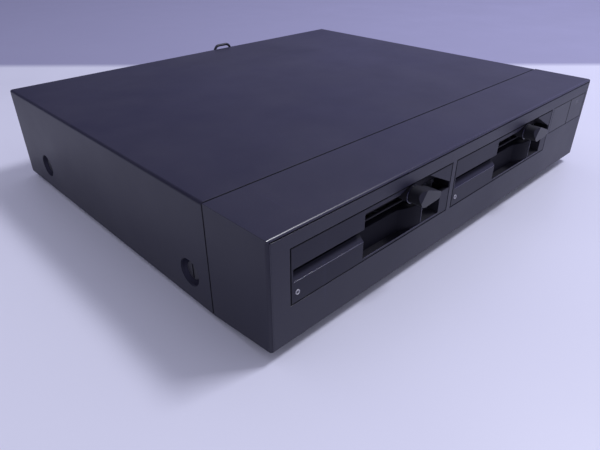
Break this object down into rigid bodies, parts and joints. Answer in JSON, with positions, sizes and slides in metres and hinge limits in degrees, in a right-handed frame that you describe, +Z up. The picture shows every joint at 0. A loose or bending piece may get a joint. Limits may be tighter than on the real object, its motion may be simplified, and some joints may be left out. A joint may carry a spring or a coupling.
{
  "type": "floppy disk drive unit",
  "caption": "Low desktop case with slim floppy disk drives side by side, turning clamp levers in arched pockets, a push power switch and a rear signal connector with wire bails.",
  "frame": {"origin": "on the surface the feet stand on, under the middle of the unit's overall box", "axes": "-Y out of the front with the disk slots, +X to the right seen from the front, +Z up"},
  "size_m": [0.39, 0.358, 0.0842],
  "materials": {
    "case_plastic": "fine-textured charcoal, satin",
    "trim_plastic": "smooth charcoal, satin",
    "face_plastic": "fine-textured dark charcoal",
    "lever_plastic": "smooth charcoal, satin",
    "black_plastic": "satin black",
    "black_anodised": "black anodised",
    "foot_rubber": "matt black",
    "screw_black": "black oxide, satin",
    "rear_paint": "satin charcoal paint",
    "plated_steel": "zinc plated, dull",
    "bright_steel": "bright",
    "wire_steel": "spring steel, satin",
    "cast_aluminium": "as cast",
    "capstan_brass": "turned",
    "circuit_board": "green solder resist",
    "ribbon_grey": "satin grey",
    "pale_lens": "milky",
    "light_lens": "pale, clear, unlit"
  },
  "bodies": {
    "case": {"top_cover": "case_plastic", "front_bezel": "case_plastic", "base_chassis": "plated_steel", "rear_panel": "rear_paint", "cover_screws": "screw_black", "rubber_feet": "foot_rubber", "foot_screws": "bright_steel", "blank_plate": "trim_plastic", "power_switch": "black_plastic", "drive_rails": "plated_steel", "drive_screws": "bright_steel", "power_supply_board": "circuit_board", "mains_transformer": "bright_steel", "heat_sink": "black_anodised", "smoothing_capacitors": "black_plastic", "interface_board": "circuit_board", "ribbon_cables": "ribbon_grey", "mains_inlet": "black_plastic", "fuse_holder": "black_plastic", "interface_connector": "bright_steel", "left_faceplate": "face_plastic", "left_activity_light": "light_lens", "left_drive_frame": "cast_aluminium", "left_hinge_pin": "bright_steel", "left_motor_board": "circuit_board", "left_guide_rods": "bright_steel", "left_stepper_motor": "plated_steel", "left_logic_board": "circuit_board", "right_faceplate": "face_plastic", "right_activity_light": "light_lens", "right_drive_frame": "cast_aluminium", "right_hinge_pin": "bright_steel", "right_motor_board": "circuit_board", "right_guide_rods": "bright_steel", "right_stepper_motor": "plated_steel", "right_logic_board": "circuit_board"},
    "button": {"power_button": "trim_plastic", "power_lens": "pale_lens"},
    "upper_latch": {"upper_bail": "screw_black"},
    "lower_latch": {"lower_bail": "screw_black"},
    "left_clamp_lever": {"left_lever": "lever_plastic", "left_lever_shaft": "bright_steel"},
    "left_pressure_arm": {"left_clamp_arm": "plated_steel"},
    "left_hub": {"left_hub_clamp": "lever_plastic"},
    "left_turntable": {"left_spindle": "bright_steel", "left_motor_rotor": "bright_steel"},
    "left_carriage": {"left_head_carriage": "cast_aluminium", "left_positioner_band": "wire_steel"},
    "left_upper_head": {"left_head_arm": "cast_aluminium"},
    "left_stepper_capstan": {"left_capstan": "capstan_brass"},
    "right_clamp_lever": {"right_lever": "lever_plastic", "right_lever_shaft": "bright_steel"},
    "right_pressure_arm": {"right_clamp_arm": "plated_steel"},
    "right_hub": {"right_hub_clamp": "lever_plastic"},
    "right_turntable": {"right_spindle": "bright_steel", "right_motor_rotor": "bright_steel"},
    "right_carriage": {"right_head_carriage": "cast_aluminium", "right_positioner_band": "wire_steel"},
    "right_upper_head": {"right_head_arm": "cast_aluminium"},
    "right_stepper_capstan": {"right_capstan": "capstan_brass"}
  },
  "joints": [
    {"name": "button_press", "type": "slide", "parent": "case", "child": "button", "axis": [0, 1, 0], "range_m": [0, 0.003], "stiffness_N_per_m": 400, "springref_m": -0.0005},
    {"name": "upper_latch_swing", "type": "hinge", "parent": "case", "child": "upper_latch", "pos_m": [0.0355, 0.173, 0.067], "axis": [-1, 0, 0], "range_deg": [0, 110]},
    {"name": "lower_latch_swing", "type": "hinge", "parent": "case", "child": "lower_latch", "pos_m": [0.0355, 0.173, 0.018], "axis": [1, 0, 0], "range_deg": [0, 110]},
    {"name": "left_lever_turn", "type": "hinge", "parent": "case", "child": "left_clamp_lever", "pos_m": [-0.0765, -0.165, 0.062], "axis": [0, 1, 0], "range_deg": [0, 90]},
    {"name": "left_arm_pivot", "type": "hinge", "parent": "case", "child": "left_pressure_arm", "pos_m": [-0.1715, -0.092, 0.0576], "axis": [0, 1, 0], "range_deg": [0, 2.23]},
    {"name": "left_hub_spin", "type": "hinge", "parent": "left_pressure_arm", "child": "left_hub", "pos_m": [-0.10641, -0.094, 0.05653], "axis": [-0.0389, 0, 0.9992], "continuous": true},
    {"name": "left_spindle_spin", "type": "hinge", "parent": "case", "child": "left_turntable", "pos_m": [-0.1065, -0.094, 0.043], "axis": [0, 0, 1], "continuous": true},
    {"name": "left_head_slide", "type": "slide", "parent": "case", "child": "left_carriage", "axis": [0, -1, 0], "range_m": [0, 0.0206]},
    {"name": "left_head_lift", "type": "hinge", "parent": "left_carriage", "child": "left_upper_head", "pos_m": [-0.1065, -0.002, 0.058], "axis": [1, 0, 0], "range_deg": [0, 2]},
    {"name": "left_capstan_turn", "type": "hinge", "parent": "case", "child": "left_stepper_capstan", "pos_m": [-0.0645, 0.009, 0.063], "axis": [0, 0, 1], "range_deg": [0, 181.6]},
    {"name": "right_lever_turn", "type": "hinge", "parent": "case", "child": "right_clamp_lever", "pos_m": [0.076, -0.165, 0.062], "axis": [0, 1, 0], "range_deg": [0, 90]},
    {"name": "right_arm_pivot", "type": "hinge", "parent": "case", "child": "right_pressure_arm", "pos_m": [-0.019, -0.092, 0.0576], "axis": [0, 1, 0], "range_deg": [0, 2.23]},
    {"name": "right_hub_spin", "type": "hinge", "parent": "right_pressure_arm", "child": "right_hub", "pos_m": [0.04609, -0.094, 0.05653], "axis": [-0.0389, 0, 0.9992], "continuous": true},
    {"name": "right_spindle_spin", "type": "hinge", "parent": "case", "child": "right_turntable", "pos_m": [0.046, -0.094, 0.043], "axis": [0, 0, 1], "continuous": true},
    {"name": "right_head_slide", "type": "slide", "parent": "case", "child": "right_carriage", "axis": [0, -1, 0], "range_m": [0, 0.0206]},
    {"name": "right_head_lift", "type": "hinge", "parent": "right_carriage", "child": "right_upper_head", "pos_m": [0.046, -0.002, 0.058], "axis": [1, 0, 0], "range_deg": [0, 2]},
    {"name": "right_capstan_turn", "type": "hinge", "parent": "case", "child": "right_stepper_capstan", "pos_m": [0.088, 0.009, 0.063], "axis": [0, 0, 1], "range_deg": [0, 181.6]}
  ],
  "couplings": [
    {"joint": "left_arm_pivot", "follows": "left_lever_turn", "ratio": 0.024801},
    {"joint": "left_head_lift", "follows": "left_lever_turn", "ratio": 0.022222},
    {"joint": "left_capstan_turn", "follows": "left_head_slide", "rad_per_m": 153.85},
    {"joint": "right_arm_pivot", "follows": "right_lever_turn", "ratio": 0.024801},
    {"joint": "right_head_lift", "follows": "right_lever_turn", "ratio": 0.022222},
    {"joint": "right_capstan_turn", "follows": "right_head_slide", "rad_per_m": 153.85}
  ]
}
